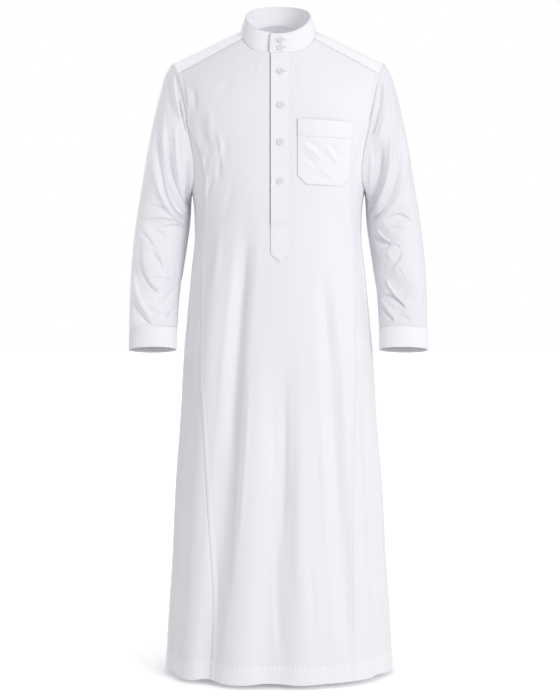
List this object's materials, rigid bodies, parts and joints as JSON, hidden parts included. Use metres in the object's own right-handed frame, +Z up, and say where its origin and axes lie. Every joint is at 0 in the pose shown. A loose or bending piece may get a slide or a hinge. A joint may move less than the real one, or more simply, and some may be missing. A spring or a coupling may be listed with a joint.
{
  "type": "thobe robe",
  "caption": "Ankle-length white thobe worn form, hollow, with stand collar, pointed button placket, chest pocket, flared side panels and cuffed sleeves.",
  "frame": {"origin": "midway between the high points of the shoulders, level with them, where the wearer's shoulders carry the robe at the side of the neck", "axes": "+Z up along the robe, -Y out of its front, +X to the wearer's left"},
  "size_m": [0.6344, 0.3558, 1.4247],
  "materials": {
    "body_cloth": "satin-faced poly-cotton twill, pressed, white",
    "sleeve_cloth": "the same cloth as the body, softly creased",
    "collar_cloth": "the same cloth, doubled over a firm interlining",
    "cuff_cloth": "the same cloth, doubled over a firm interlining",
    "placket_cloth": "the same cloth, doubled and topstitched",
    "pocket_cloth": "the same cloth, with a turned band along the mouth",
    "buttons": "white polyester resin, moulded and polished"
  },
  "bodies": {
    "root": {"front_panel": "body_cloth", "back_panel": "body_cloth", "yoke": "body_cloth", "side_front_right": "body_cloth", "side_back_right": "body_cloth", "side_front_left": "body_cloth", "side_back_left": "body_cloth", "sleeve_right": "sleeve_cloth", "sleeve_left": "sleeve_cloth", "cuff_right": "cuff_cloth", "cuff_left": "cuff_cloth", "collar": "collar_cloth", "placket_top": "placket_cloth", "placket_under": "placket_cloth", "chest_pocket": "pocket_cloth", "button_collar_1": "buttons", "button_collar_2": "buttons", "button_placket_1": "buttons", "button_placket_2": "buttons", "button_placket_3": "buttons", "button_placket_4": "buttons"}
  },
  "joints": []
}
